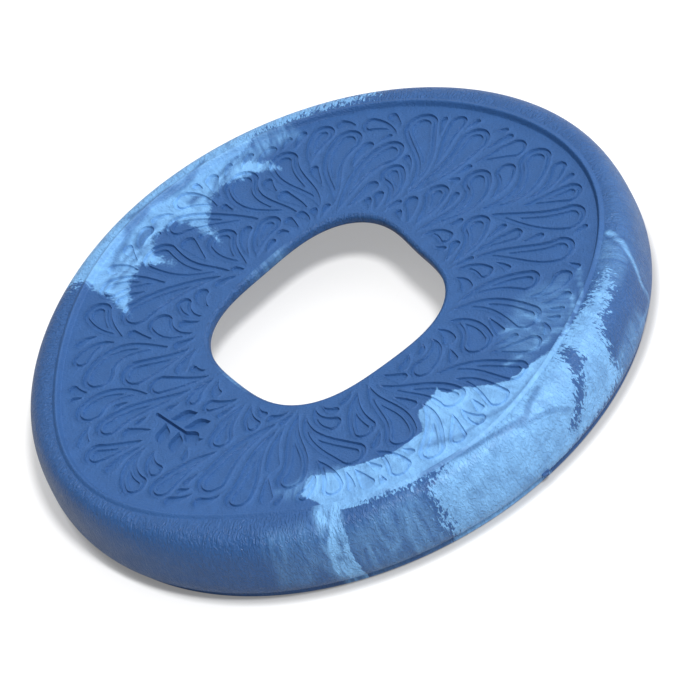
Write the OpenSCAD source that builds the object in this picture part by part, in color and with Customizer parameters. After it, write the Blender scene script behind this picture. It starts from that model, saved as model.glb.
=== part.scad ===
// Soft moulded flying ring: a flat patterned deck with a rounded hole in its middle, a flared
// skirt around it, and an open hollow underneath. Millimetres, +Z up. The origin is the middle
// of the ring on the surface it lies on.

/* [Overall] */
// Radius of the ring where the skirt is widest
ring_radius = 120; // [114:1:140]
// Height of the shoulder's top, next to the bead, above the surface the ring lies on
shoulder_height = 31.4; // [26:0.2:40]
// How far the deck's top face lies below the shoulder's top
deck_recess = 1.2; // [0:0.1:3]
// Thickness of the deck
web_thick = 4.6; // [3:0.2:6]
// Thickness of the skirt wall at the rim
wall_thick = 4.6; // [3:0.2:6]

/* [Deck outline] */
// Mean radius of the bead line around the deck
deck_radius = 107.4; // [95:0.1:110]
// How much the bead line swells at its four soft corners
deck_square = 2; // [0:0.1:3]
// Direction of the first soft corner of the deck, in degrees from +X
deck_turn = 10; // [0:1:90]
// Smaller five-lobed swell that keeps the bead line from being quite regular
deck_uneven = 1.1; // [0:0.1:2]
// Direction of the first lobe of that swell, in degrees from +X
deck_uneven_turn = -14; // [-36:1:36]

/* [Hole] */
// Mean radius of the hole at its narrowest height
hole_radius = 44.9; // [30:0.1:50]
// How much the hole swells at its four soft corners
hole_square = 2.6; // [0:0.1:3]
// Direction of the first soft corner of the hole, in degrees from +X
hole_turn = -29; // [-90:1:0]
// Smaller three-lobed swell that keeps the hole from being quite regular
hole_uneven = 1; // [0:0.1:2]
// Direction of the first lobe of that swell, in degrees from +X
hole_uneven_turn = -54; // [-60:1:60]
// Swell that makes the hole slightly oval
hole_oval = 0.8; // [0:0.1:2]
// Direction in which the hole is longest, in degrees from +X
hole_oval_turn = 80; // [0:1:180]
// Width of the plain rim of the hole
lip_width = 5; // [3:0.5:8]
// Radius of the hole's rounded edges
lip_round = 1.6; // [0.5:0.1:2.2]

/* [Bead] */
// Width of the raised bead around the deck
bead_width = 3; // [1.5:0.1:4]
// Height of the bead above the shoulder
bead_rise = 0.8; // [0.5:0.1:2]

/* [Skirt] */
// Fullness of the shoulder: 1 is straight, 2 is a quarter ellipse
shoulder_fullness = 2.9; // [2:0.1:3.5]
// Height at which the shoulder passes into the skirt's wall
split_height = 18; // [16:1:22]
// Height at which the skirt is widest
widest_height = 12; // [8:1:16]
// How far the skirt tucks in from there to the parting line
tuck = 3.8; // [0:0.1:5]
// Height of the middle of the mould's parting line
seam_height = 3; // [2:0.1:6]
// Thickness of the band that carries the parting line
seam_band = 0.8; // [0.6:0.1:1.5]
// How far the parting line stands out from the rim
seam_proud = 0.4; // [0.2:0.1:0.8]
// Radius of the foot's rounded outer edge
foot_round = 1.6; // [0.5:0.1:2]

/* [Leaf relief] */
// Height of the raised leaves above the deck
leaf_rise = 0.4; // [0.2:0.1:0.8]
// Leaves in the outer row
outer_leaves = 36; // [12:2:48]
// Leaves in the inner row
inner_leaves = 24; // [8:2:30]
// Length and width of an outer leaf
outer_leaf = [23, 7]; // [4:1:26]
// Length and width of an inner leaf
inner_leaf = [19, 6.5]; // [4:1:22]
// Radius of the middle of the outer row
outer_row = 87; // [60:1:100]
// Radius of the middle of the inner row
inner_row = 63; // [50:1:80]
// How far each leaf leans to one side or the other, in degrees
leaf_lean = 24; // [0:1:30]

/* [Sprig badge] */
// Middle of the recessed sprig, from the middle of the ring
badge_at = [-68, -21]; // [-80:0.5:80]
// Direction the sprig grows in, in degrees from +X
badge_turn = -70; // [-180:1:180]
// Length of the sprig
badge_length = 26; // [12:1:30]
// Depth of the recess
badge_depth = 1.8; // [0.4:0.1:2]

/* [Gate mark] */
// Direction of the mark left by the mould's gate, in degrees from +X
gate_angle = -68; // [-180:1:180]
// Gap between the mark and the parting line
gate_gap = 0.8; // [0.4:0.1:2]
// Length, height and rise of the mark
gate_size = [3.6, 2, 0.6]; // [0.6:0.1:5]

/* [Hidden] */

deep_blue = [0.21, 0.37, 0.65];
mid_blue = [0.27, 0.45, 0.74];
pale_blue = [0.52, 0.76, 0.97];

// Straight steps around the squarish outlines
steps = 96;
// Points along the shoulder, the wall, the tuck below it, and the rounded bead
shoulder_points = 9;
wall_points = 4;
tuck_points = 3;
round_points = 9;
// Points around a leaf
leaf_points = 20;

rim_radius = ring_radius - tuck;
inner_fullness = shoulder_fullness * 0.8;
deck_height = shoulder_height - deck_recess;
web_bottom = deck_height - web_thick;
seam_top = seam_height + seam_band / 2;
seam_bottom = seam_height - seam_band / 2;
bead_half = bead_width / 2;
$fn = 96;

// Radius of the bead line and of the hole in a given direction
function deck_edge(a) =
    deck_radius
    + deck_square * cos(4 * (a - deck_turn))
    + deck_uneven * cos(5 * (a - deck_uneven_turn));
function hole_edge(a) =
    hole_radius
    + hole_square * cos(4 * (a - hole_turn))
    + hole_uneven * cos(3 * (a - hole_uneven_turn))
    + hole_oval * cos(2 * (a - hole_oval_turn));

// A closed outline whose radius is given by a function of direction
function outline(radius, grow) = [
    for (i = [0:steps - 1])
        let (a = 360 * i / steps)
            (radius(a) + grow) * [cos(a), sin(a)]
];

// Part of a quarter superellipse that runs from (top, height), where it is level, to the widest
// height, where it is upright; the turn goes from 0 to 90 degrees along it
function quarter(top, height, widest, fullness, turns) = [
    for (t = turns)
        [
            top + (widest - top) * pow(sin(t), 2 / fullness),
            widest_height + (height - widest_height) * pow(cos(t), 2 / fullness)
        ]
];

// Turn at which such a quarter passes the split height
function split_turn(height, fullness) =
    acos(pow((split_height - widest_height) / (height - widest_height), fullness / 2));

// Evenly spaced turns
function turns(from, to, count) = [for (i = [0:count - 1]) from + (to - from) * i / (count - 1)];

// One face of the shoulder, from the deck's edge to the split height
function shoulder_face(top, height, widest, fullness) =
    quarter(top, height, widest, fullness, turns(0, split_turn(height, fullness), shoulder_points));

// One face of the skirt's wall, from the split height over the widest height to the parting line
function wall_face(top, height, widest, fullness) = concat(
    quarter(top, height, widest, fullness, turns(split_turn(height, fullness), 90, wall_points)),
    [
        for (i = [1:tuck_points])
            let (t = 90 * i / tuck_points)
                [widest - tuck * (1 - cos(t)), widest_height - (widest_height - seam_top) * sin(t)]
    ]
);

function reversed(list) = [for (i = [len(list) - 1:-1:0]) list[i]];

// A closed ring whose section, a list of [radius, height], is a function of direction
module section_ring(section) {
    count = len(section(0));
    points = [
        for (i = [0:steps - 1])
            let (a = 360 * i / steps)
                for (p = section(a))
                    [p[0] * cos(a), p[0] * sin(a), p[1]]
    ];
    faces = [
        for (i = [0:steps - 1], j = [0:count - 1])
            let (
                here = i * count,
                next = ((i + 1) % steps) * count,
                k = (j + 1) % count
            )
                each [[here + j, next + j, next + k], [here + j, next + k, here + k]]
    ];
    polyhedron(points, faces, convexity = 6);
}

// A leaf with a round head and a pointed tail, lying along +X about its own middle
module leaf(size) {
    polygon([
        for (i = [0:leaf_points - 1])
            let (t = 360 * i / leaf_points)
                [size[0] / 2 * cos(t), size[1] * 0.62 * sin(t) * abs(sin(t / 2))]
    ]);
}

// Five leaves on a common stem: two pairs and a tip, growing along +X about their own middle
module sprig() {
    leaf_size = [badge_length * 0.42, badge_length * 0.2];
    for (x = [-0.28, 0.04], side = [-1, 1])
        translate([badge_length * (x + 0.1), side * badge_length * 0.17])
            rotate(180 + side * 48)
                leaf(leaf_size);
    translate([badge_length * 0.34, 0])
        rotate(180)
            leaf(leaf_size);
    translate([-badge_length * 0.5, -badge_length * 0.025])
        square([badge_length * 0.62, badge_length * 0.05]);
}

module deck_web() {
    color(deep_blue)
        difference() {
            translate([0, 0, web_bottom])
                linear_extrude(web_thick)
                    difference() {
                        polygon(outline(function (a) deck_edge(a), bead_half));
                        polygon(outline(function (a) hole_edge(a), lip_width));
                    }
            translate([badge_at[0], badge_at[1], deck_height - badge_depth])
                rotate(badge_turn)
                    linear_extrude(badge_depth + 1)
                        sprig();
        }
}

// Height of the bead's top face at a turn from its foot on the deck, 0, to the shoulder, 180
function bead_top(t) =
    t < 90
        ? deck_height + (deck_recess + bead_rise) * sin(t)
        : shoulder_height + bead_rise * sin(t);

// Rounded bead on the outer margin of the deck, which steps up from the deck to the shoulder
module deck_bead() {
    color(mid_blue)
        section_ring(function (a) concat(
            [
                for (i = [0:round_points - 1])
                    let (t = 180 * i / (round_points - 1))
                        [deck_edge(a) - bead_half * cos(t), bead_top(t)]
            ],
            [[deck_edge(a) + bead_half, deck_height]]
        ));
}

// One row of leaves that lean left and right in turn
module leaf_row(count, radius, size) {
    for (i = [0:count - 1])
        rotate(360 * (i + 0.5) / count)
            translate([radius, 0])
                rotate(i % 2 == 0 ? leaf_lean : -leaf_lean)
                    leaf(size);
}

// Raised leaves on the deck, kept off the sprig
module leaf_relief() {
    color(pale_blue)
        translate([0, 0, deck_height])
            linear_extrude(leaf_rise)
                difference() {
                    union() {
                        leaf_row(outer_leaves, outer_row, outer_leaf);
                        leaf_row(inner_leaves, inner_row, inner_leaf);
                    }
                    translate(badge_at)
                        circle(badge_length * 0.62);
                }
}

// Rim of the hole, with rounded upper and lower edges
module hole_lip() {
    color(mid_blue)
        section_ring(function (a) concat(
            [[hole_edge(a) + lip_width, web_bottom], [hole_edge(a) + lip_width, deck_height]],
            [
                for (t = [90:15:180])
                    [hole_edge(a) + lip_round * (1 + cos(t)), deck_height - lip_round * (1 - sin(t))]
            ],
            [
                for (t = [180:15:270])
                    [hole_edge(a) + lip_round * (1 + cos(t)), web_bottom + lip_round * (1 + sin(t))]
            ]
        ));
}

// Full shoulder that falls from the deck's squarish edge
module shoulder() {
    color(mid_blue)
        section_ring(function (a) let (top = deck_edge(a) + bead_half) concat(
            shoulder_face(top, shoulder_height, ring_radius, shoulder_fullness),
            reversed(shoulder_face(top, web_bottom, ring_radius - wall_thick, inner_fullness))
        ));
}

// Wall below the shoulder, slightly tucked in to the round rim
module skirt() {
    color(mid_blue)
        section_ring(function (a) let (top = deck_edge(a) + bead_half) concat(
            wall_face(top, shoulder_height, ring_radius, shoulder_fullness),
            reversed(wall_face(top, web_bottom, ring_radius - wall_thick, inner_fullness))
        ));
}

// Band in the wall that carries the mould's parting line as a fine ridge outside
module seam_band_ring() {
    color(deep_blue)
        rotate_extrude()
            polygon([
                [rim_radius - wall_thick, seam_bottom],
                [rim_radius, seam_bottom],
                [rim_radius + seam_proud, seam_height - seam_band / 4],
                [rim_radius + seam_proud, seam_height + seam_band / 4],
                [rim_radius, seam_top],
                [rim_radius - wall_thick, seam_top]
            ]);
}

// Foot below the parting line, with a rounded outer edge and a flat underside
module foot_lip() {
    inner_round = foot_round / 2;
    color(deep_blue)
        rotate_extrude()
            polygon(concat(
                [[rim_radius - wall_thick, seam_bottom]],
                [
                    for (t = [0:15:90])
                        [
                            rim_radius - wall_thick + inner_round * (1 - cos(t)),
                            inner_round * (1 - sin(t))
                        ]
                ],
                [
                    for (t = [90:-15:0])
                        [
                            rim_radius - foot_round * (1 - cos(t)),
                            foot_round * (1 - sin(t))
                        ]
                ],
                [[rim_radius, seam_bottom]]
            ));
}

// Radius of the skirt's outer face at a height below its widest
function skirt_radius(height) =
    let (t = asin((widest_height - height) / (widest_height - seam_top)))
        ring_radius - tuck * (1 - cos(t));

// Small raised pad with round ends left by the mould's gate, just above the parting line
module gate_mark() {
    pad_round = gate_size[1] / 2;
    pad_height = seam_top + gate_gap + pad_round;
    color(pale_blue)
        difference() {
            rotate(gate_angle)
                translate([skirt_radius(pad_height) - gate_size[2], 0, pad_height])
                    rotate([90, 0, 90])
                        linear_extrude(2 * gate_size[2])
                            union() {
                                square([gate_size[0] - gate_size[1], gate_size[1]], center = true);
                                for (side = [-1, 1])
                                    translate([side * (gate_size[0] - gate_size[1]) / 2, 0])
                                        circle(pad_round);
                            }
            skirt();
        }
}

deck_web();
deck_bead();
leaf_relief();
hole_lip();
shoulder();
skirt();
seam_band_ring();
foot_lip();
gate_mark();
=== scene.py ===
# Looks of the soft moulded flying ring: marbled rubber with a painted highlight and a painted
# reflection, a moulded lobe pattern on the deck, a leather-like grain on the skirt, and a plain white
# studio whose floor has a painted contact shadow. Lengths are in millimetres up to the point where a
# mesh is made, and in metres in Blender.
import math

import bpy
import numpy as np
from mathutils import Matrix, Vector
from mathutils.geometry import delaunay_2d_cdt


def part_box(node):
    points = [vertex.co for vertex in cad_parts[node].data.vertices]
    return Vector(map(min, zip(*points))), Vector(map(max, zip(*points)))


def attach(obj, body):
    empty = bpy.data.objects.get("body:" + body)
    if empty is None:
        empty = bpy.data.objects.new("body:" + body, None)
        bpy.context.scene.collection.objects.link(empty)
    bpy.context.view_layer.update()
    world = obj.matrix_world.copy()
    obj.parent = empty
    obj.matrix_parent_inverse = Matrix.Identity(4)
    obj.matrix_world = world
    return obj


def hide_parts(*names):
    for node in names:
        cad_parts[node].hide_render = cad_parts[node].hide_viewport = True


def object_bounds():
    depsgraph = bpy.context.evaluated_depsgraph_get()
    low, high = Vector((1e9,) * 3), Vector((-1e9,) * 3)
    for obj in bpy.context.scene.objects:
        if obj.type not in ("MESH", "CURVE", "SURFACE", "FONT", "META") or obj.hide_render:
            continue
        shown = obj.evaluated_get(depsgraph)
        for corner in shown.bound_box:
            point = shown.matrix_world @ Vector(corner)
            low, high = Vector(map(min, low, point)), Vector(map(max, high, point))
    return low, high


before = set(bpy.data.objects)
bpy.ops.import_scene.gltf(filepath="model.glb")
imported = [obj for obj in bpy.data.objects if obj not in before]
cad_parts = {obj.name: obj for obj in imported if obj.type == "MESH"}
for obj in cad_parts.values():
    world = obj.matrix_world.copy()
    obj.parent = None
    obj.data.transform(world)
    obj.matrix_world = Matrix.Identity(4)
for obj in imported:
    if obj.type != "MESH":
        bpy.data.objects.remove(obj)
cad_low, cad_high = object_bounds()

MM = 0.001
BODY = "root"

# Deck and bead
BEAD_REACH = 1.6  # from the bead's crest to where it blends into the deck and the shoulder
BEAD_MARGIN = 2.0  # plain deck between the bead's blend and the lobes
HOLE_ROUND = 1.6  # radius of the hole's rounded edges
HOLE_MARGIN = 1.0  # plain deck between the hole's rounded edge and the lobes
SHOULDER_FULLNESS = 2.9  # how square the shoulder's curve is: 2 would be an ellipse
SHOULDER_START = 1.5  # from the bead's crest out to where the shoulder starts to fall
WIDEST_HEIGHT = 12.0
HOLLOW_FULLNESS = 0.8 * SHOULDER_FULLNESS
FOOT_ROUND_OUTSIDE = 1.6
FOOT_ROUND_INSIDE = 0.8

# Lobe pattern
PATTERN_SEED = 7
SPRAYS = 11  # fans of lobes around the deck
SPRAY_SPREAD = 58.0  # how far the outermost lobes of a fan lean, in degrees
LOBE_GAP = 1.0  # land between two lobes
LOBE_DEPTH = 0.8  # depth of a lobe's floor at its head
TAIL_DEPTH = 0.5  # the same at its tail
WALL_WIDTH = 0.34  # width of a lobe's steep wall
LIP_RISE = 0.2  # height of the fine lip around a lobe
LIP_WIDTH = 0.42
# Length and head radius of the lobes, largest first
LOBE_SIZES = [(34, 6.3), (31, 5.5), (27, 4.7), (23, 3.9), (19, 3.2), (15, 2.6), (11, 2.0), (8, 1.5)]
LAND_SPACING = 1.5  # between the deck's vertices away from the lobes' walls
LAND_CLEARANCE = 0.5  # from those vertices to the nearest wall
SPRIG_GAP = 0.8  # plain deck around the sprig
TRIES = 140  # places tried for each lobe
MISSES = 36  # failures in a row before the next smaller size
SHORTEST_SHARE = 0.55  # of its full length that a lobe keeps where another one stops it
BEND = 0.3  # how much a lobe's lean varies, in radians
SPINE_POINTS = 22  # along a lobe while it is being placed
MAP_REACH = 14.0  # how far around a lobe the distance map is brought up to date
NESTED_TWICE = 4.9  # smallest head radius of a lobe with two more outlines inside
NESTED_ONCE = 3.0  # the same with one more
LOBE_STEP = 1.05  # between the points of a lobe's outline
SPRIG_STEP = 0.9
CAP_STEP = 0.7  # the same around a round end
RIM_CLEARANCE = 0.6  # from the deck's vertices to its two rims

# Recessed sprig, as in the part
SPRIG_AT = (-68.0, -21.0)
SPRIG_TURN = -70.0
SPRIG_LENGTH = 26.0
SPRIG_DEPTH = 1.8

# Mesh fineness
AROUND = 1040
SKIRT_ROWS = 64
UPPER_SHARE = 0.72  # of those rows, above the widest line
CELL = 0.5  # cell of the pattern's distance map
MAP_HALF = 116.0  # half the side of that map

# Distance out over the deck and down the skirt at which hidden or narrow parts take their tone
HOLE_RIM_AT = 20.0
SEAM_AT = 146.0
FOOT_AT = 149.0
HOLLOW_AT = 150.0

# Floor and light
FLOOR_WHITE = 0.62
FLOOR_HALF = 20.0  # half the side of the floor, in metres
FLOOR_BOUNCE = 0.6  # how much of the light that falls on the floor comes back to the ring
FLOOR_GLOW = 0.36
CONTACT_REACH = 5.0  # how far from the ring the painted contact shadow on the floor reaches
CONTACT_SHADE = 0.55  # how bright the painted contact shadow leaves the floor where the ring meets it
SKY_HIGH = 1.05  # strength of the surrounding light at its brightest and at its dimmest
SKY_LOW = 0.04
SKY_FROM = (15.0, 54.0)  # direction and height of the brightest part, in degrees
KEY_STRENGTH = 2.8
KEY_SPREAD = 9.0
KEY_FROM = (-68.0, 56.0)  # direction and height of the key light, in degrees
SIDE_STRENGTH = 0.6
SIDE_SPREAD = 50.0
SIDE_FROM = (-15.0, 26.0)

# Colours, as linear light
DEEP_BLUE = (0.0290, 0.0950, 0.2640)
PALE_BLUE = (0.190, 0.430, 0.765)
RUBBER_SHINE = 0.3

# Camera: above the near side and tilted to one side
CAMERA_HEIGHT = 39.31  # in degrees
CAMERA_ROLL = -27.05
CAMERA_AIM = (-1.7, 6.4)  # across and up in the picture
VIEW_WIDTH = 258.1
CAMERA_LENS = 1000.0
CAMERA_SENSOR = 36.0


# ---------------------------------------------------------------- outlines read from the part


def node_points(name):
    """Vertices of a CAD node, in millimetres."""
    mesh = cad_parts[name].data
    points = np.empty(len(mesh.vertices) * 3)
    mesh.vertices.foreach_get("co", points)
    return points.reshape(-1, 3) / MM


def fitted_outline(points, orders):
    """Radius as a smooth function of direction, fitted to points around the ring."""
    angle = np.arctan2(points[:, 1], points[:, 0])
    radius = np.hypot(points[:, 0], points[:, 1])

    def terms(a):
        waves = [np.ones_like(a)]
        for order in orders:
            waves += [np.cos(order * a), np.sin(order * a)]
        return np.stack(waves, -1)

    weights = np.linalg.lstsq(terms(angle), radius, rcond=None)[0]
    return lambda a: terms(np.asarray(a, float)) @ weights


web_low, web_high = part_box("deck_web")
DECK_TOP = web_high.z / MM
WEB_BOTTOM = web_low.z / MM
SHOULDER_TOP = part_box("shoulder")[1].z / MM
BEAD_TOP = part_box("deck_bead")[1].z / MM
RING_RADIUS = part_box("skirt")[1].x / MM
SEAM_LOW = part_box("seam_band_ring")[0].z / MM
SEAM_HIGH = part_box("seam_band_ring")[1].z / MM
SEAM_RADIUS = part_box("seam_band_ring")[1].x / MM
RIM_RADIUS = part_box("foot_lip")[1].x / MM
foot_points = node_points("foot_lip")
WALL_THICK = RIM_RADIUS - np.hypot(foot_points[:, 0], foot_points[:, 1]).min()

bead_points = node_points("deck_bead")
deck_edge = fitted_outline(bead_points[bead_points[:, 2] > bead_points[:, 2].max() - 0.01], (4, 5))
lip_points = node_points("hole_lip")
lip_upright = (DECK_TOP - WEB_BOTTOM) / 2 - HOLE_ROUND + 0.01
lip_middle = abs(lip_points[:, 2] - (DECK_TOP + WEB_BOTTOM) / 2) < lip_upright
hole_edge = fitted_outline(lip_points[lip_middle], (2, 3, 4))

ANGLES = np.arange(AROUND) * 2 * math.pi / AROUND
EDGE = deck_edge(ANGLES)
HOLE = hole_edge(ANGLES)


# ---------------------------------------------------------------- lobe pattern


def round_cones(spine, radii, points):
    """Signed distance from points to a chain of round cones, negative inside."""
    best = np.full(len(points), 1e9)
    for a, b, ra, rb in zip(spine[:-1], spine[1:], radii[:-1], radii[1:]):
        along = b - a
        t = np.clip((points - a) @ along / max(along @ along, 1e-9), 0, 1)
        offset = points - (a + t[:, None] * along)
        best = np.minimum(best, np.hypot(offset[:, 0], offset[:, 1]) - (ra + t * (rb - ra)))
    return best


def teardrop(length, head, count):
    """Radii along a lobe, from its head to its pointed tail."""
    t = np.linspace(0, 1, count)
    return np.maximum(head * (1 - t) ** 0.8, 0.15)


def flow(points):
    """Direction in which lobes point at each place: fans that open outwards."""
    angle = np.arctan2(points[:, 1], points[:, 0])
    radius = np.hypot(points[:, 0], points[:, 1])
    wobble = 0.22 * np.sin(2 * angle + 0.7) + 0.12 * np.sin(5 * angle + 2.0)
    place = SPRAYS * (angle + wobble / 2) / (2 * math.pi) + 0.35 * np.sin(radius / 13 + 2 * angle)
    across = 2 * (place - np.floor(place)) - 1
    return angle + math.radians(SPRAY_SPREAD) * across * (1.1 - 0.25 * abs(across))


def sprig_shapes():
    """Five leaves and a stem, each a chain of round cones."""
    turn = math.radians(SPRIG_TURN)
    forward = np.array([math.cos(turn), math.sin(turn)])
    side = np.array([-forward[1], forward[0]])
    middle = np.array(SPRIG_AT)
    size = SPRIG_LENGTH
    # Swelling of a leaf from its tip to its foot
    swell = size * np.array([0.012, 0.06, 0.1, 0.115, 0.103, 0.072, 0.036, 0.012])
    shapes = []
    for x in (-0.26, 0.06):
        for way in (-1, 1):
            lean = math.radians(50) * way
            axis = math.cos(lean) * forward + math.sin(lean) * side
            ends = np.linspace(0.46, 0.06, len(swell))
            shapes.append((middle + size * (x * forward + ends[:, None] * axis), swell))
    ends = np.linspace(0.52, 0.16, len(swell))
    shapes.append((middle + size * ends[:, None] * forward, swell))
    ends = np.linspace(-0.5, 0.2, 15)
    shapes.append((middle + size * ends[:, None] * forward, np.full(len(ends), 0.026 * size)))
    return shapes


class Pattern:
    """The lobes, placed one after another where the largest still fits."""

    def __init__(self):
        self.random = np.random.default_rng(PATTERN_SEED)
        self.count = int(2 * MAP_HALF / CELL) + 1
        line = np.linspace(-MAP_HALF, MAP_HALF, self.count)
        self.grid = np.stack(np.meshgrid(line, line, indexing="ij"), -1)
        flat = self.grid.reshape(-1, 2)
        angle = np.arctan2(flat[:, 1], flat[:, 0])
        radius = np.hypot(flat[:, 0], flat[:, 1])
        inner = radius - hole_edge(angle) - HOLE_ROUND - HOLE_MARGIN
        outer = deck_edge(angle) - BEAD_REACH - BEAD_MARGIN - radius
        room = np.minimum(inner, outer)
        for spine, radii in sprig_shapes():
            near = np.hypot(*(flat - spine.mean(0)).T) < 40
            room[near] = np.minimum(room[near], round_cones(spine, radii, flat[near]) - SPRIG_GAP)
        self.room = room.reshape(self.count, self.count)
        self.lobes = []

    def room_at(self, points):
        """Free distance around each point."""
        cells = np.clip(np.rint((points + MAP_HALF) / CELL).astype(int), 0, self.count - 1)
        return self.room[cells[..., 0], cells[..., 1]]

    def spines(self, heads, length, bend, count=SPINE_POINTS):
        """Streamlines back from the heads, towards the hole."""
        points = heads.copy()
        spines = [points]
        for step in range(count - 1):
            way = flow(points) + bend * (1 - 1.6 * step / count)
            points = points - length / (count - 1) * np.stack([np.cos(way), np.sin(way)], -1)
            spines.append(points)
        return np.stack(spines, 1)

    def place(self, length, head):
        """Tries some heads of one size, and keeps the longest lobe that fits."""
        free = np.argwhere(self.room > head + LOBE_GAP * 0.5)
        if not len(free):
            return False
        picks = free[self.random.integers(0, len(free), TRIES)]
        heads = self.grid[picks[:, 0], picks[:, 1]]
        bend = self.random.normal(0, BEND, TRIES)
        spines = self.spines(heads, length, bend)
        radii = teardrop(length, head, spines.shape[1])
        blocked = self.room_at(spines) < radii + LOBE_GAP
        # A lobe may not turn more sharply than its own width allows.
        strides = np.diff(spines, axis=1)
        heading = np.unwrap(np.arctan2(strides[..., 1], strides[..., 0]), axis=1)
        sharpest = length / (spines.shape[1] - 1) / (1.15 * radii[1:-1] + 1.5)
        blocked[:, 2:] |= abs(np.diff(heading, axis=1)) > sharpest
        first = np.where(blocked.any(1), blocked.argmax(1), spines.shape[1])
        best = int(np.argmax(first + self.random.random(TRIES)))
        if first[best] < spines.shape[1] * SHORTEST_SHARE:
            return False
        spine = spines[best, : first[best]]
        radii = teardrop(length, head, len(spine))
        self.keep(spine, radii)
        return True

    def keep(self, spine, radii):
        """Takes a lobe in, and takes its ground out of the free room."""
        low = np.floor((spine.min(0) - MAP_REACH + MAP_HALF) / CELL).astype(int).clip(0)
        high = np.ceil((spine.max(0) + MAP_REACH + MAP_HALF) / CELL).astype(int)
        window = np.s_[low[0] : high[0], low[1] : high[1]]
        points = self.grid[window]
        distance = round_cones(spine[::2], radii[::2], points.reshape(-1, 2))
        self.room[window] = np.minimum(self.room[window], distance.reshape(points.shape[:2]))
        self.lobes.append((spine, radii))

    def fill(self):
        """Places all sizes in turn."""
        for length, head in LOBE_SIZES:
            misses = 0
            while misses < MISSES:
                placed = self.place(length, head * self.random.uniform(0.85, 1.1))
                misses = 0 if placed else misses + 1
        return self.lobes


def walls_of(head):
    """Depths inside a lobe at which its floor steps down or up, as (start, way)."""
    if head > NESTED_TWICE:
        return [(0.0, 1), (1.55, -1), (2.75, 1)]
    if head > NESTED_ONCE:
        return [(0.0, 1), (1.25, -1)]
    return [(0.0, 1)]


def depth_along(share):
    """Depth of a lobe's floor at a share of the way from its head to its tail."""
    return TAIL_DEPTH + (LOBE_DEPTH - TAIL_DEPTH) * (1 - share) ** 2


def evenly(spine, radii, spacing):
    """The same chain with evenly spaced points."""
    steps = np.hypot(*np.diff(spine, axis=0).T)
    length = np.concatenate([[0], np.cumsum(steps)])
    marks = np.linspace(0, length[-1], max(6, int(length[-1] / spacing)))
    points = np.stack([np.interp(marks, length, spine[:, k]) for k in (0, 1)], -1)
    return points, np.interp(marks, length, radii)


def drawn_in(spine, radii, inset):
    """Outline of a chain drawn in by some distance, and how far along the chain each point is."""
    wide = np.flatnonzero(radii > inset + 0.1)
    if len(wide) < 3:
        return None
    share = np.arange(len(radii)) / (len(radii) - 1)
    first, last = wide[0], wide[-1] + 1
    spine, radii, share = spine[first:last], radii[first:last] - inset, share[first:last]
    along = np.gradient(spine, axis=0)
    along /= np.hypot(along[:, 0], along[:, 1])[:, None]
    side = np.stack([-along[:, 1], along[:, 0]], -1)
    left = spine + radii[:, None] * side
    right = spine - radii[:, None] * side
    count = max(5, int(math.pi * radii[0] / CAP_STEP))
    turns = math.atan2(along[0, 1], along[0, 0]) - math.pi / 2 - np.linspace(0, math.pi, count)[1:-1]
    cap = spine[0] + radii[0] * np.stack([np.cos(turns), np.sin(turns)], -1)
    points = np.concatenate([left, right[::-1], cap])
    return points, np.concatenate([share, share[::-1], np.full(len(cap), share[0])])


def sprig_depth(inside):
    """Depth of the sprig's recess at some distance inside its outline."""
    return SPRIG_DEPTH * np.clip(inside / WALL_WIDTH, 0, 1)


def sunk(points, lobes):
    """Depth of the deck's top face at some places, and how far the nearest wall is from each."""
    depth = np.zeros(len(points))
    clear = np.full(len(points), 1e9)
    shapes = [(spine, radii, walls_of(radii[0])) for spine, radii in lobes]
    shapes += [(spine, radii, None) for spine, radii in sprig_shapes()]
    for spine, radii, walls in shapes:
        reach = radii.max() + 2.0
        index = np.flatnonzero(((points > spine.min(0) - reach) & (points < spine.max(0) + reach)).all(1))
        if not len(index):
            continue
        inside = -round_cones(spine, radii, points[index])
        if walls is None:
            levels = [0.0, WALL_WIDTH]
            floor = sprig_depth(inside)
        else:
            levels = [-LIP_WIDTH] + [start + step for start, _ in walls for step in (0, WALL_WIDTH)]
            gaps = np.hypot(*(points[index][:, None] - spine[None]).transpose(2, 0, 1))
            full = depth_along(gaps.argmin(1) / (len(spine) - 1))
            floor = full * sum(way * np.clip((inside - start) / WALL_WIDTH, 0, 1) for start, way in walls)
        depth[index] = np.maximum(depth[index], floor)
        for level in levels:
            clear[index] = np.minimum(clear[index], abs(inside - level))
    return depth, clear


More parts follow.
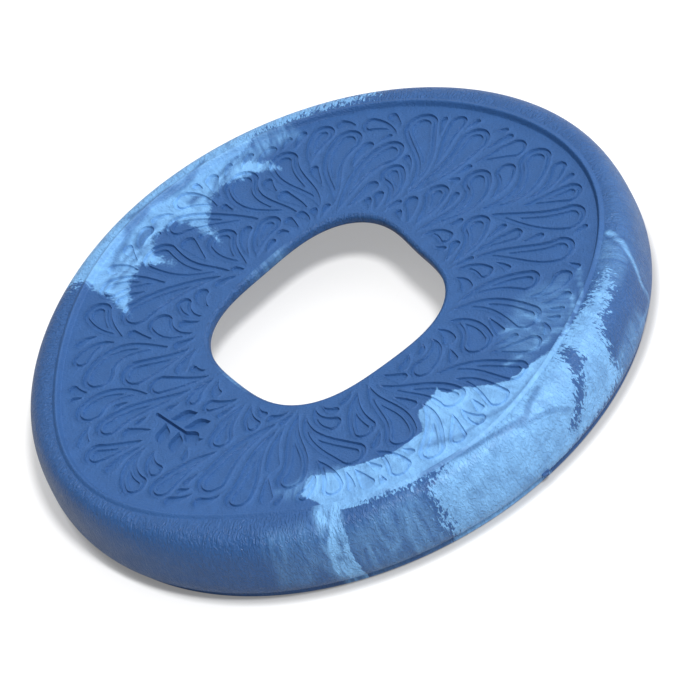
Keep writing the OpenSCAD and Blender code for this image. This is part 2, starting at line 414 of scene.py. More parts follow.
class Sheet:
    """The deck's top face: points with depths, and the lines that join some of them."""

    def __init__(self):
        self.points = []
        self.depths = []
        self.lines = []
        self.count = 0

    def add(self, points, depths, closed=False):
        """Takes points in, joined into a closed line or left loose."""
        first = self.count
        self.points.append(points)
        self.depths.append(np.broadcast_to(depths, len(points)))
        self.count += len(points)
        if closed:
            self.lines += [(first + i, first + (i + 1) % len(points)) for i in range(len(points))]
        return range(first, self.count)

    def add_lobe(self, spine, radii):
        """Outlines of a lobe: its lip, its wall, and the steps inside it."""
        full = evenly(spine, radii, LOBE_STEP)
        self.add(drawn_in(*full, -LIP_WIDTH)[0], 0, closed=True)
        self.add(drawn_in(*full, 0)[0], -LIP_RISE, closed=True)
        level = 0
        for start, way in walls_of(radii[0]):
            for inset, now in ((start, level), (start + WALL_WIDTH, level + way)):
                if inset == 0:
                    continue  # the lip's crest is already there
                outline = drawn_in(*full, inset)
                if outline is None:
                    return
                self.add(outline[0], now * depth_along(outline[1]), closed=True)
            level += way

    def add_sprig(self):
        """Outlines of the sprig's leaves and stem, at the top and the foot of their walls."""
        shapes = sprig_shapes()
        for number, (spine, radii) in enumerate(shapes):
            others = shapes[:number] + shapes[number + 1 :]
            for inset, depth in ((0, 0), (WALL_WIDTH, SPRIG_DEPTH)):
                outline = drawn_in(*evenly(spine, radii, SPRIG_STEP), inset)
                if outline is None:
                    continue
                points = outline[0]
                inside = np.max([-round_cones(*shape, points) for shape in others], 0)
                self.add(points, np.maximum(depth, sprig_depth(inside)), closed=True)

    def add_land(self, lobes, inner, outer):
        """Loose points on a regular grid, away from walls and rims."""
        line = np.arange(-112, 112, LAND_SPACING)
        x, y = np.meshgrid(line, line, indexing="ij")
        x = x + LAND_SPACING / 2 * (np.arange(len(line)) % 2)
        points = np.stack([x.ravel(), y.ravel()], -1)
        angle = np.arctan2(points[:, 1], points[:, 0])
        radius = np.hypot(points[:, 0], points[:, 1])
        on_deck = (radius > inner(angle) + RIM_CLEARANCE) & (radius < outer(angle) - RIM_CLEARANCE)
        points = points[on_deck]
        depth, clear = sunk(points, lobes)
        open_land = clear > LAND_CLEARANCE
        self.add(points[open_land], depth[open_land])

    def triangles(self, lobes):
        """Joins the points into triangles."""
        points = np.concatenate(self.points)
        depths = np.concatenate(self.depths)
        corners = [Vector(p) for p in points.tolist()]
        made, _, faces, sources, _, _ = delaunay_2d_cdt(corners, self.lines, [], 0, 1e-5, True)
        places = np.array([tuple(p) for p in made])
        heights = np.empty(len(places))
        new = [i for i, source in enumerate(sources) if not source]
        old = [i for i, source in enumerate(sources) if source]
        heights[old] = depths[[sources[i][0] for i in old]]
        if new:
            heights[new] = sunk(places[new], lobes)[0]
        where = {source: i for i, group in enumerate(sources) for source in group}
        return places, heights, np.array(faces), where


# ---------------------------------------------------------------- marbling, with a painted highlight and a painted reflection

# Each patch is an outline of (direction in degrees, distance in mm out over the deck and then down
# the skirt), how soft its edge is in mm, and its tone: 1 pale, -1 deep.
PATCHES = [
    # patch at the far left, over the bead, with three tips that point to the hole
    (1, 2.6, [(136, 118), (134, 108), (137, 94), (142, 82), (136, 87), (131.5, 90), (126, 92), (124.5, 86),
              (123, 79), (121.5, 89), (118, 96), (113, 94), (110, 90), (110, 70), (106.5, 83), (102, 91),
              (98, 94), (93, 93), (84, 88), (88, 96), (92, 104), (86, 109), (76, 110), (62, 112), (60, 115),
              (76, 118), (88, 122), (98, 127), (112, 131), (126, 126)]),
    # patch at the near right, from the deck down over the skirt
    (1, 0.7, [(-112, 87), (-103, 88), (-97.5, 90), (-90, 89.5), (-82.5, 89), (-81, 79), (-77, 76),
              (-71, 72), (-70, 78.5), (-66, 83), (-64, 89), (-60.5, 95), (-56, 99), (-50, 104), (-46, 108),
              (-44, 118), (-48, 130), (-50, 170), (-64, 170), (-78, 170), (-92, 170), (-106, 170),
              (-106, 112), (-109, 104), (-114, 97)]),
    (1, 2.0, [(-56, 100), (-46, 106), (-38, 108), (-31, 110), (-28, 112.5), (-31, 115), (-38, 116.5),
              (-43, 119), (-45, 128), (-44, 137), (-50, 160), (-58, 160), (-58, 120)]),
    # deep block with one crisp edge
    (-1, 0.3, [(-105, 110), (-105, 160), (-99, 160), (-99, 113)]),
    (-1, 2.4, [(-101, 112), (-101, 160), (-88, 160), (-88, 118), (-84, 113), (-92, 112)]),
    # ragged deep streak down the skirt
    (-1, 1.5, [(-49, 108), (-50, 118), (-54, 127), (-58, 134), (-60, 133), (-57, 128), (-53.5, 120),
               (-51.5, 110)]),
    # deep strip by the parting line
    (-1, 2.0, [(-26, 138), (-40, 138.5), (-52, 140), (-62, 143), (-68, 149),
               (-66, 170), (-46, 170), (-26, 170)]),
]
# Faint dark swirl lines in the pale patches: strength, half width, points
VEILS = [
    (0.55, 0.9, [(-88, 111), (-78, 112), (-72, 115), (-66, 116), (-60, 112)]),
    (0.40, 0.8, [(-70, 115), (-64, 120), (-58, 126)]),
    (0.45, 0.8, [(-84, 96), (-76, 102), (-66, 105), (-58, 105)]),
    (0.60, 1.2, [(128, 101), (123, 104), (118, 108), (111, 109), (104, 107)]),
    (0.80, 1.6, [(121, 99), (118, 101), (116, 100)]),
    (0.80, 1.0, [(106, 97), (104, 97.5)]),
    (0.55, 0.7, [(103, 92), (98, 99), (92, 105)]),
    (0.55, 0.7, [(98, 95), (93, 101), (86, 106)]),
    (0.60, 1.0, [(116, 112), (111, 108), (104, 107), (98, 110)]),
    (0.50, 0.8, [(135, 100), (129, 98), (122, 99)]),
    (0.50, 0.8, [(134, 96), (128, 94), (121, 95)]),
]
# Pale streaks over the deep blue: strength, half width, points
STREAKS = [
    (0.95, 3.4, [(-107.5, 110), (-107.5, 124), (-107.5, 150)]),
    (0.50, 0.8, [(-47, 79), (-44, 85), (-46, 92), (-50, 98)]),
    (0.50, 0.8, [(-39, 80), (-41, 88), (-45, 96), (-44, 103)]),
    (0.55, 0.8, [(-56, 90), (-52, 95), (-47, 100)]),
    (0.50, 0.7, [(-33, 98), (-38, 103), (-45, 106)]),
    (0.45, 0.6, [(-26, 100), (-33, 104), (-40, 106)]),
    (0.65, 0.9, [(-19, 111), (-22, 118), (-26, 128), (-27, 142)]),
    (0.45, 0.8, [(-44, 131), (-36, 136), (-28, 138)]),
    (0.50, 1.0, [(96, 102), (88, 105), (80, 103)]),
]

# Faint pale glows, and a painted highlight and a painted reflection: strength, softness, outline
HAZES_AND_SHEEN = [
    (0.40, 4.0, [(100, 98), (88, 98), (78, 102), (80, 109), (92, 110), (100, 106)]),
    (0.30, 4.0, [(-104, 86), (-112, 86), (-120, 92), (-116, 98), (-105, 96)]),
    (0.38, 6.0, [(-104, 120), (-90, 116), (-89, 150), (-104, 150)]),
    (0.22, 6.0, [(-108, 112), (-120, 114), (-120, 140), (-108, 142)]),
    # painted reflection of the light on the right of the skirt
    (0.06, 6.0, [(-26, 112), (-4, 114), (8, 120), (4, 136), (-26, 142)]),
    (0.24, 4.0, [(-20, 109), (-34, 110), (-32, 118), (-24, 120)]),
    (0.32, 4.0, [(-32, 130), (-46, 130), (-46, 142), (-30, 142)]),
    # painted highlight on the far left of the hole's rim, the side that faces the key light
    (0.34, 3.0, [(95, 12), (95, 28), (205, 28), (205, 12)]),
    (0.20, 5.0, [(-34, 78), (-52, 82), (-54, 98), (-40, 104), (-28, 96)]),
]


def polar(points):
    """Points given as (direction in degrees, distance), in x and y."""
    angle, distance = np.radians(np.array(points, float).T)[0], np.array(points, float)[:, 1]
    return np.stack([distance * np.cos(angle), distance * np.sin(angle)], -1)


def segment_distance(points, a, b):
    """Distance from points to the segment between a and b."""
    along = b - a
    t = np.clip((points - a) @ along / max(along @ along, 1e-9), 0, 1)
    offset = points - (a + t[:, None] * along)
    return np.hypot(offset[:, 0], offset[:, 1])


def line_share(points, line, half):
    """One on a line, falling softly to nothing at twice its half width."""
    corners = polar(line)
    distance = np.min([segment_distance(points, a, b) for a, b in zip(corners[:-1], corners[1:])], 0)
    return np.clip(1.5 - distance / (1.33 * half), 0, 1)


def inside_distance(points, outline):
    """Distance to a closed outline, positive inside."""
    corners = polar(outline)
    distance = np.full(len(points), 1e9)
    inside = np.zeros(len(points), bool)
    for a, b in zip(corners, np.roll(corners, -1, 0)):
        distance = np.minimum(distance, segment_distance(points, a, b))
        spans = (a[1] > points[:, 1]) != (b[1] > points[:, 1])
        rise = b[1] - a[1] if abs(b[1] - a[1]) > 1e-9 else 1e-9
        inside ^= spans & (points[:, 0] < a[0] + (points[:, 1] - a[1]) / rise * (b[0] - a[0]))
    return np.where(inside, distance, -distance)


def marbling(angle, distance):
    """How pale the rubber is at each place, with a painted highlight and a painted reflection among the pale
    glows: positive inside the pale patches.
    """
    points = np.stack([distance * np.cos(angle), distance * np.sin(angle)], -1)
    warp = 0.5 * np.stack([
        np.sin(points[:, 1] / 4.1 + 1.0) + 0.6 * np.sin(points[:, 0] / 2.3 + points[:, 1] / 3.1),
        np.sin(points[:, 0] / 3.7 + 2.0) + 0.6 * np.sin(points[:, 1] / 2.1 - points[:, 0] / 2.9),
    ], -1)
    points = points + warp
    field = np.full(len(points), -6.0)
    for tone, soft, outline in PATCHES:
        patch = np.clip(inside_distance(points, outline) / soft, -6, 6)
        field = np.maximum(field, patch) if tone > 0 else np.minimum(field, -patch)
    haze_and_sheen = np.zeros(len(points))
    for strength, soft, outline in HAZES_AND_SHEEN:
        haze_and_sheen = np.maximum(haze_and_sheen, strength * np.clip(inside_distance(points, outline) / soft + 0.5, 0, 1))
    for strength, half, line in STREAKS:
        haze_and_sheen = np.maximum(haze_and_sheen, strength * line_share(points, line, half))
    veil = np.zeros(len(points))
    for strength, half, line in VEILS:
        veil = np.maximum(veil, strength * line_share(points, line, half))
    return field, haze_and_sheen, veil


# ---------------------------------------------------------------- meshes


def finish_piece(name, mesh, reach, material, nodes, sharp=70):
    """Gives a mesh its tones and material, and puts it in the place of some CAD nodes."""
    mesh.update(calc_edges=True)
    mesh.polygons.foreach_set("use_smooth", np.ones(len(mesh.polygons), bool))
    mesh.set_sharp_from_angle(angle=math.radians(sharp))
    points = np.empty(len(mesh.vertices) * 3)
    mesh.vertices.foreach_get("co", points)
    points = points.reshape(-1, 3)
    angle = np.arctan2(points[:, 1], points[:, 0])
    # The tones include a painted highlight on the hole's rim and a painted reflection on the skirt.
    tones = dict(zip(("pale", "haze_and_sheen", "veil"), marbling(angle, reach)))
    strand = np.stack([RING_RADIUS * np.cos(angle), RING_RADIUS * np.sin(angle), reach], -1)
    for tone, values in tones.items():
        mesh.attributes.new(tone, "FLOAT", "POINT").data.foreach_set("value", values)
    mesh.attributes.new("strand", "FLOAT_VECTOR", "POINT").data.foreach_set("vector", strand.ravel())
    mesh.materials.append(material)
    piece = bpy.data.objects.new(name, mesh)
    bpy.context.collection.objects.link(piece)
    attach(piece, BODY)
    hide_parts(*nodes)


def ring_piece(name, rows, reach, material, nodes):
    """A closed ring from rows of points around it, each row at its own distance out and down."""
    rows = np.asarray(rows)
    count, width = rows.shape[:2]
    mesh = bpy.data.meshes.new(name)
    j, i = np.meshgrid(np.arange(count), np.arange(width), indexing="ij")
    k = (j + 1) % count
    n = (i + 1) % width
    quads = np.stack([j * width + i, k * width + i, k * width + n, j * width + n], -1).reshape(-1, 4)
    mesh.vertices.add(count * width)
    mesh.vertices.foreach_set("co", (rows.reshape(-1, 3) * MM).ravel())
    mesh.loops.add(quads.size)
    mesh.loops.foreach_set("vertex_index", quads.ravel())
    mesh.polygons.add(len(quads))
    mesh.polygons.foreach_set("loop_start", np.arange(len(quads)) * 4)
    finish_piece(name, mesh, np.broadcast_to(reach, (count, width)).ravel(), material, nodes)


def around(radius, height):
    """A row of points around the ring."""
    radius = np.broadcast_to(radius, ANGLES.shape)
    height = np.broadcast_to(height, ANGLES.shape)
    return np.stack([radius * np.cos(ANGLES), radius * np.sin(ANGLES), height], -1)


def deck_skin(material):
    """Patterned top of the deck, with its flat underside."""
    inner = lambda a: hole_edge(a) + HOLE_ROUND
    outer = lambda a: deck_edge(a) - BEAD_REACH
    lobes = Pattern().fill()
    sheet = Sheet()
    rims = [sheet.add(around(edge(ANGLES), 0)[:, :2], 0, closed=True) for edge in (inner, outer)]
    for spine, radii in lobes:
        sheet.add_lobe(spine, radii)
    sheet.add_sprig()
    sheet.add_land(lobes, inner, outer)
    places, depths, faces, where = sheet.triangles(lobes)
    middles = places[faces].mean(1)
    angle = np.arctan2(middles[:, 1], middles[:, 0])
    radius = np.hypot(middles[:, 0], middles[:, 1])
    faces = faces[(radius > inner(angle)) & (radius < outer(angle))]
    top = np.column_stack([places, DECK_TOP - depths])
    rims = [[where[i] for i in rim] for rim in rims]
    # The underside's two rims lie straight below the top's.
    under = [np.column_stack([places[rim], np.full(AROUND, WEB_BOTTOM)]) for rim in rims]
    low = [[len(top) + AROUND * k + i for i in range(AROUND)] for k in range(2)]
    bands = [(rims[0], low[0]), (low[0], low[1]), (low[1], rims[1])]
    quads = []
    for a, b in bands:
        quads += [(a[i], a[(i + 1) % AROUND], b[(i + 1) % AROUND], b[i]) for i in range(AROUND)]
    mesh = bpy.data.meshes.new("deck_skin")
    points = np.concatenate([top, *under])
    mesh.from_pydata((points * MM).tolist(), [], faces.tolist() + quads)
    reach = np.hypot(points[:, 0], points[:, 1])
    finish_piece("deck_skin", mesh, reach, material, ["deck_web", "leaf_relief"], 30)


def bead_ring(material):
    """Soft raised line around the deck, from which the shoulder falls outside."""
    rows = []
    reach = []
    for t in np.linspace(-1, 1, 33):
        crest = (0.5 + 0.5 * math.cos(math.pi * t)) ** 0.8
        radius = EDGE + BEAD_REACH * t
        foot = DECK_TOP if t < 0 else shoulder_height(radius)
        top = BEAD_TOP if t < 0 else foot + BEAD_TOP - SHOULDER_TOP
        rows.append(around(radius, foot + (top - foot) * crest))
        reach.append(radius)
    for side in (1, -1):
        rows.append(around(EDGE + BEAD_REACH * side, WEB_BOTTOM + 0.5))
        reach.append(EDGE + BEAD_REACH * side)
    ring_piece("bead_ring", rows, reach, material, ["deck_bead"])


def shoulder_height(radius):
    """Height of the outer face at a radius on the shoulder."""
    start = EDGE + SHOULDER_START
    share = np.clip((radius - start) / (RING_RADIUS - start), 0, 1)
    fall = (1 - share**SHOULDER_FULLNESS) ** (1 / SHOULDER_FULLNESS)
    return WIDEST_HEIGHT + (SHOULDER_TOP - WIDEST_HEIGHT) * fall


def shoulder_rows(outer_radius, top_height, fullness, shares):
    """Rows from the bead's outer blend down a full curve to the widest line."""
    start = EDGE + SHOULDER_START
    share0 = (EDGE + BEAD_REACH - start) / (outer_radius - start)
    turn0 = np.arcsin(share0 ** (fullness / 2))
    rows = []
    for share in shares:
        turn = turn0 + (math.pi / 2 - turn0) * share
        across = np.sin(turn) ** (2 / fullness)
        level = np.maximum(np.cos(turn), 0) ** (2 / fullness)
        height = WIDEST_HEIGHT + (top_height - WIDEST_HEIGHT) * level
        rows.append(around(start + (outer_radius - start) * across, height))
    return rows


def skirt_faces():
    """Rows of the skirt's outer face from the bead to the parting line, and how far down each is."""
    upper = int(SKIRT_ROWS * UPPER_SHARE)
    shares = np.linspace(0, 1, upper) ** 1.35
    rows = shoulder_rows(RING_RADIUS, SHOULDER_TOP, SHOULDER_FULLNESS, shares)
    for share in np.linspace(0, 1, SKIRT_ROWS - upper + 1)[1:]:
        turn = math.pi / 2 * share
        radius = RING_RADIUS - (RING_RADIUS - RIM_RADIUS) * (1 - math.cos(turn))
        rows.append(around(radius, WIDEST_HEIGHT - (WIDEST_HEIGHT - SEAM_HIGH) * math.sin(turn)))
    rows = np.stack(rows)
    steps = np.linalg.norm(np.diff(rows, axis=0), axis=2)
    reach = EDGE + BEAD_REACH + np.concatenate([np.zeros((1, AROUND)), np.cumsum(steps, 0)])
    return rows, reach


def skirt_skin(material):
    """Outer face of the skirt and, behind it, the hollow's plain wall."""
    outer, reach = skirt_faces()
    inner = shoulder_rows(RING_RADIUS - WALL_THICK, WEB_BOTTOM, HOLLOW_FULLNESS, np.linspace(0, 1, 10))
    inner.append(around(RIM_RADIUS - WALL_THICK, SEAM_HIGH))
    rows = np.concatenate([outer, np.stack(inner[::-1])])
    depth = np.concatenate([reach, np.full((len(inner), AROUND), HOLLOW_AT)])
    ring_piece("skirt_skin", rows, depth, material, ["shoulder", "skirt"])


def hole_rim(material):
    """Rim of the hole, with rounded edges."""
    rows = []
    for turn in np.radians(np.linspace(90, 0, 9)):
        out = HOLE + HOLE_ROUND * (1 - math.cos(turn))
        rows.append(around(out, WEB_BOTTOM + HOLE_ROUND * (1 - math.sin(turn))))
    for turn in np.radians(np.linspace(0, 90, 9)):
        out = HOLE + HOLE_ROUND * (1 - math.cos(turn))
        rows.append(around(out, DECK_TOP - HOLE_ROUND * (1 - math.sin(turn))))
    # At this distance the rim takes the painted highlight on its far left.
    reach = [np.full(AROUND, HOLE_RIM_AT)] * len(rows)
    ring_piece("hole_rim", rows, reach, material, ["hole_lip"])


def seam_line(material):
    """Band of the wall with the fine proud parting line."""
    proud = SEAM_RADIUS - RIM_RADIUS
    rows = []
    for t in np.linspace(1, -1, 11):
        bump = proud * max(0, 1 - (t / 0.75) ** 2)
        rows.append(around(RIM_RADIUS + bump, (SEAM_HIGH + SEAM_LOW) / 2 + (SEAM_HIGH - SEAM_LOW) / 2 * t))
    rows.append(around(RIM_RADIUS - WALL_THICK, SEAM_LOW))
    rows.append(around(RIM_RADIUS - WALL_THICK, SEAM_HIGH))
    reach = [np.full(AROUND, SEAM_AT)] * len(rows)
    ring_piece("seam_line", rows, reach, material, ["seam_band_ring"])


def foot_ring(material):
    """Foot below the parting line, with rounded edges."""
    rows = []
    outer = FOOT_ROUND_OUTSIDE
    inner = FOOT_ROUND_INSIDE
    rows.append(around(RIM_RADIUS, SEAM_LOW))
    rows.append(around(RIM_RADIUS, SEAM_LOW - 0.4))
    for t in np.linspace(0, 90, 9):
        c, s = math.cos(math.radians(t)), math.sin(math.radians(t))
        rows.append(around(RIM_RADIUS - outer * (1 - c), outer * (1 - s)))
    for t in np.linspace(90, 0, 7):
        c, s = math.cos(math.radians(t)), math.sin(math.radians(t))
        rows.append(around(RIM_RADIUS - WALL_THICK + inner * (1 - c), inner * (1 - s)))
    rows.append(around(RIM_RADIUS - WALL_THICK, SEAM_LOW))
    reach = [np.full(AROUND, FOOT_AT)] * len(rows)
    ring_piece("foot_ring", rows, reach, material, ["foot_lip"])


def gate_pad(material):
    """Small oval pad with a sunken middle, left by the mould's gate."""
    points = node_points("gate_mark")
    middle = (points.min(0) + points.max(0)) / 2
    angle = math.atan2(middle[1], middle[0])
    out = np.array([math.cos(angle), math.sin(angle), 0])
    side = np.array([-math.sin(angle), math.cos(angle), 0])
    up = np.array([0, 0, 1.0])
    reach = (points @ out).max()
    along = (points @ side).max() - (points @ side).min()
    tall = points[:, 2].max() - points[:, 2].min()
    base = (points @ out).min() - 0.3
    profile = [(1.0, base), (1.0, reach - 0.3), (0.93, reach - 0.08), (0.82, reach), (0.68, reach - 0.05),
               (0.58, reach - 0.32), (0.3, reach - 0.38), (0.04, reach - 0.38)]
    count = 48
    rows = []
    for share, height in profile:
        row = []
        for i in range(count):
            t = 2 * math.pi * i / count
            u = math.copysign(abs(math.cos(t)) ** 0.8, math.cos(t)) * along / 2 * share
            v = math.sin(t) * tall / 2 * share
            row.append(height * out + u * side + (v + middle[2]) * up)
        rows.append(row)
    mesh = bpy.data.meshes.new("gate_pad")
    vertices = [tuple(p * MM) for row in rows for p in row]
    faces = [tuple(range(count))[::-1], tuple(range((len(rows) - 1) * count, len(rows) * count))]
    for j in range(len(rows) - 1):
        for i in range(count):
            n = (i + 1) % count
            faces.append((j * count + i, j * count + n, (j + 1) * count + n, (j + 1) * count + i))
    mesh.from_pydata(vertices, [], faces)
    mesh.polygons.foreach_set("use_smooth", [True] * len(mesh.polygons))
    mesh.attributes.new("pale", "FLOAT", "POINT").data.foreach_set("value", [-6.0] * len(vertices))
    mesh.materials.append(material)
    mesh.update()
    piece = bpy.data.objects.new("gate_pad", mesh)
    bpy.context.collection.objects.link(piece)
    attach(piece, BODY)
    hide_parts("gate_mark")


# ---------------------------------------------------------------- materials


class Shader:
    """A few words for writing node materials."""

    def __init__(self, name):
        self.material = bpy.data.materials.new(name)
        self.material.use_nodes = True
        self.tree = self.material.node_tree
        self.tree.nodes.clear()
        self.surface = self.node("ShaderNodeBsdfPrincipled")
        output = self.node("ShaderNodeOutputMaterial")
        self.link(self.surface.outputs["BSDF"], output.inputs["Surface"])

    def node(self, kind, **settings):
        made = self.tree.nodes.new(kind)
        for key, value in settings.items():
            setattr(made, key, value)
        return made

    def link(self, source, target):
        self.tree.links.new(source, target)

    def math(self, operation, a, b=None, c=None):
        made = self.node("ShaderNodeMath", operation=operation)
        for socket, value in zip(made.inputs, (a, b, c)):
            if value is None:
                continue
            if isinstance(value, (int, float)):
                socket.default_value = value
            else:
                self.link(value, socket)
        return made.outputs[0]

    def attribute(self, name):
        """A number stored on the mesh's vertices."""
        return self.node("ShaderNodeAttribute", attribute_name=name).outputs["Fac"]

    def place(self):
        return self.node("ShaderNodeTexCoord").outputs["Object"]

    def noise(self, size, detail=2.0, rough=0.5, warp=0.0):
        """Noise with features of about the given size in mm."""
        made = self.node("ShaderNodeTexNoise")
        self.link(self.place(), made.inputs["Vector"])
        made.inputs["Scale"].default_value = 1 / (size * MM)
        made.inputs["Detail"].default_value = detail
        made.inputs["Roughness"].default_value = rough
        made.inputs["Distortion"].default_value = warp
        return made.outputs["Fac"]

    def strands(self, width, length, detail=2.0, warp=0.0):
        """Noise drawn out towards and away from the middle of the ring, and down the skirt."""
        place = self.node("ShaderNodeAttribute", attribute_name="strand").outputs["Vector"]
        scaled = self.node("ShaderNodeVectorMath", operation="MULTIPLY")
        self.link(place, scaled.inputs[0])
        scaled.inputs[1].default_value = (1 / width, 1 / width, 1 / length)
        made = self.node("ShaderNodeTexNoise")
        self.link(scaled.outputs["Vector"], made.inputs["Vector"])
        made.inputs["Scale"].default_value = 1.0
        made.inputs["Detail"].default_value = detail
        made.inputs["Distortion"].default_value = warp
        return made.outputs["Fac"]

    def range(self, value, low, high, to_low=0.0, to_high=1.0, smooth=False):
        """Maps a value from one range to another and holds it there."""
        made = self.node("ShaderNodeMapRange", interpolation_type="SMOOTHSTEP" if smooth else "LINEAR")
        self.link(value, made.inputs["Value"])
        for name, number in (("From Min", low), ("From Max", high), ("To Min", to_low), ("To Max", to_high)):
            made.inputs[name].default_value = number
        return made.outputs["Result"]

    def mix(self, factor, a, b):
        made = self.node("ShaderNodeMix", data_type="RGBA")
        sockets = [s for s in made.inputs if s.type == "RGBA"]
        factor_socket = [s for s in made.inputs if s.type == "VALUE"][0]
        self.link(factor, factor_socket)
        for socket, value in zip(sockets, (a, b)):
            if isinstance(value, tuple):
                socket.default_value = (*value, 1)
            else:
                self.link(value, socket)
        return [s for s in made.outputs if s.type == "RGBA"][0]

    def bump(self, height, distance, normal=None):
        made = self.node("ShaderNodeBump")
        made.inputs["Distance"].default_value = distance * MM
        made.inputs["Strength"].default_value = 1.0
        self.link(height, made.inputs["Height"])
        if normal is not None:
            self.link(normal, made.inputs["Normal"])
        return made.outputs["Normal"]


def marbled_rubber(name, wrinkle, wrinkle_depth, fine_depth, speckle, roughness):
    """Deep blue rubber marbled with pale blue, with a moulded grain."""
    s = Shader(name)
    # Short wavy wrinkles, and a much finer tooth.
    grain = s.range(s.strands(wrinkle, 2.0 * wrinkle, detail=1.5, warp=0.8), 0.34, 0.66, smooth=True)
    fine = s.range(s.noise(0.65, detail=1.0), 0.3, 0.7)
    # The marbling breaks up along strands at its edges.
    ragged = 0.75 * speckle
    strand = s.range(s.strands(1.1, 5.0, detail=3.0, warp=0.4), 0.32, 0.68, -ragged, ragged)
    wander = s.range(s.noise(5.0, detail=3.0, rough=0.55, warp=1.0), 0.3, 0.7, -0.55, 0.55)
    tooth = s.math("MULTIPLY_ADD", grain, 2 * ragged, -ragged)
    edge = s.math("ADD", s.math("ADD", s.attribute("pale"), wander), s.math("ADD", strand, tooth))
    pale = s.range(edge, -0.45, 0.65, smooth=True)
    # Neither tone is quite even: faint swirls and clouds run through both.
    swirl = s.noise(15.0, detail=5.0, rough=0.6, warp=2.2)
    cloud = s.strands(4.0, 16.0, detail=4.0, warp=1.2)
    swirled = s.range(swirl, 0.34, 0.6, 0.7, 1.0)
    clouded = s.range(cloud, 0.32, 0.58, 0.72, 1.0)
    strength = s.math("MULTIPLY", swirled, clouded)
    # The faint pale glows carry the painted highlight on the hole's rim and the painted reflection on the
    # skirt.
    haze_and_sheen = s.math("MULTIPLY", s.attribute("haze_and_sheen"), s.range(cloud, 0.36, 0.64, 0.25, 1.2))
    pale = s.math("MULTIPLY", pale, s.math("MULTIPLY_ADD", s.attribute("veil"), -1.0, 1.0))
    amount = s.math("MAXIMUM", s.math("MULTIPLY", pale, strength), haze_and_sheen)
    deep_tint = s.mix(s.range(swirl, 0.45, 0.72), DEEP_BLUE, tuple(1.12 * c for c in DEEP_BLUE))
    colour = s.mix(amount, deep_tint, PALE_BLUE)
    s.link(colour, s.surface.inputs["Base Color"])
    dull = s.range(s.noise(5.0, detail=3.0), 0.3, 0.7, roughness - 0.05, roughness + 0.06)
    s.link(dull, s.surface.inputs["Roughness"])
    s.surface.inputs["Specular IOR Level"].default_value = RUBBER_SHINE
    normal = s.bump(grain, wrinkle_depth)
    normal = s.bump(fine, fine_depth, normal)
    s.link(normal, s.surface.inputs["Normal"])
    return s.material


def studio_floor():
    """White floor that glows a little, with a painted contact shadow that darkens it softly where the ring
    meets it.
    """
    mesh = bpy.data.meshes.new("floor")
    half = FLOOR_HALF
    corners = [(-half, -half, 0), (half, -half, 0), (half, half, 0), (-half, half, 0)]
    mesh.from_pydata(corners, [], [(0, 1, 2, 3)])
    floor = bpy.data.objects.new("floor", mesh)
    bpy.context.collection.objects.link(floor)
    floor.location.z = cad_low.z - 0.00005
    s = Shader("white_floor")
    # Painted contact shadow: an ambient occlusion node darkens the floor's colour and glow near the ring,
    # for camera rays only.
    near = s.node("ShaderNodeAmbientOcclusion", samples=12)
    near.inputs["Distance"].default_value = CONTACT_REACH * MM
    painted_contact_shadow = s.range(near.outputs["AO"], 0.5, 0.97, CONTACT_SHADE, 1.0)
    seen = s.node("ShaderNodeLightPath").outputs["Is Camera Ray"]
    tone = s.mix(painted_contact_shadow, (0, 0, 0), (FLOOR_WHITE,) * 3)
    s.link(s.mix(seen, (FLOOR_BOUNCE,) * 3, tone), s.surface.inputs["Base Color"])
    s.surface.inputs["Roughness"].default_value = 1.0
    s.surface.inputs["Specular IOR Level"].default_value = 0.0
    s.surface.inputs["Emission Color"].default_value = (1, 1, 1, 1)
    glow = s.math("MULTIPLY", s.math("MULTIPLY", painted_contact_shadow, seen), FLOOR_GLOW)
    s.link(glow, s.surface.inputs["Emission Strength"])
    mesh.materials.append(s.material)


# ---------------------------------------------------------------- studio


def direction(azimuth, height):
    """Unit vector towards a direction and height given in degrees."""
    azimuth, height = math.radians(azimuth), math.radians(height)
    level = math.cos(height)
    return Vector((math.cos(azimuth) * level, math.sin(azimuth) * level, math.sin(height)))


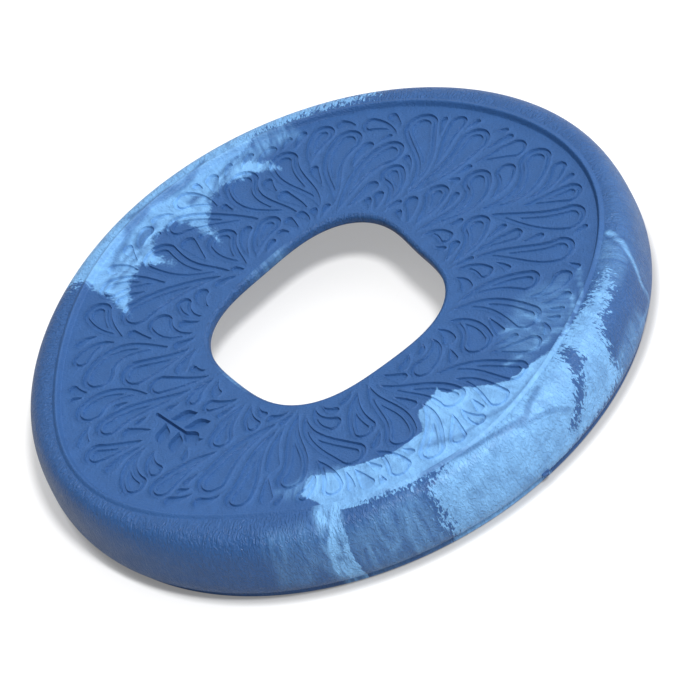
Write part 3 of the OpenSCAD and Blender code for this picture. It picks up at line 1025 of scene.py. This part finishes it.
def studio_light():
    """White surroundings that are brightest on one side, a key light and a soft side light."""
    world = bpy.data.worlds.new("studio")
    bpy.context.scene.world = world
    world.use_nodes = True
    tree = world.node_tree
    background = tree.nodes["Background"]
    place = tree.nodes.new("ShaderNodeTexCoord")
    towards = tree.nodes.new("ShaderNodeVectorMath")
    towards.operation = "DOT_PRODUCT"
    towards.inputs[1].default_value = direction(*SKY_FROM)
    level = tree.nodes.new("ShaderNodeMapRange")
    tree.links.new(place.outputs["Generated"], towards.inputs[0])
    tree.links.new(towards.outputs["Value"], level.inputs["Value"])
    level.inputs["To Min"].default_value = SKY_LOW
    level.inputs["To Max"].default_value = SKY_HIGH
    tree.links.new(level.outputs["Result"], background.inputs["Strength"])
    background.inputs["Color"].default_value = (1, 1, 1, 1)
    sun("key", KEY_STRENGTH, KEY_SPREAD, KEY_FROM)
    sun("side", SIDE_STRENGTH, SIDE_SPREAD, SIDE_FROM)


def sun(name, strength, spread, source):
    """A distant light from a direction and height in degrees."""
    light = bpy.data.lights.new(name, "SUN")
    light.energy = strength
    light.angle = math.radians(spread)
    lamp = bpy.data.objects.new(name, light)
    bpy.context.collection.objects.link(lamp)
    lamp.rotation_mode = "QUATERNION"
    lamp.rotation_quaternion = direction(*source).to_track_quat("Z", "Y")


def main_camera():
    """Camera above the near side, tilted to one side."""
    elevation = math.radians(CAMERA_HEIGHT)
    roll = math.radians(CAMERA_ROLL)
    back = Vector((0, -math.cos(elevation), math.sin(elevation)))
    right = Vector((1, 0, 0))
    up = back.cross(right)
    across = math.cos(roll) * right + math.sin(roll) * up
    upward = -math.sin(roll) * right + math.cos(roll) * up
    data = bpy.data.cameras.new("camera")
    data.lens = CAMERA_LENS
    data.sensor_width = CAMERA_SENSOR
    camera = bpy.data.objects.new("camera", data)
    bpy.context.collection.objects.link(camera)
    distance = VIEW_WIDTH * MM * CAMERA_LENS / CAMERA_SENSOR
    place = (CAMERA_AIM[0] * across + CAMERA_AIM[1] * upward) * MM + back * distance
    camera.matrix_world = Matrix.Translation(place) @ Matrix((across, upward, back)).transposed().to_4x4()
    bpy.context.scene.camera = camera


bpy.context.scene.view_settings.view_transform = "Standard"
deck_rubber = marbled_rubber(
    "deck_rubber", wrinkle=0.9, wrinkle_depth=0.03, fine_depth=0.14, speckle=0.25, roughness=0.5
)
rim_rubber = marbled_rubber(
    "rim_rubber", wrinkle=0.8, wrinkle_depth=0.14, fine_depth=0.2, speckle=0.5, roughness=0.42
)
skirt_rubber = marbled_rubber(
    "skirt_rubber", wrinkle=0.9, wrinkle_depth=0.25, fine_depth=0.06, speckle=1.2, roughness=0.38
)
deck_skin(deck_rubber)
bead_ring(deck_rubber)
hole_rim(rim_rubber)
skirt_skin(skirt_rubber)
seam_line(skirt_rubber)
foot_ring(skirt_rubber)
gate_pad(skirt_rubber)
studio_floor()
studio_light()
main_camera()
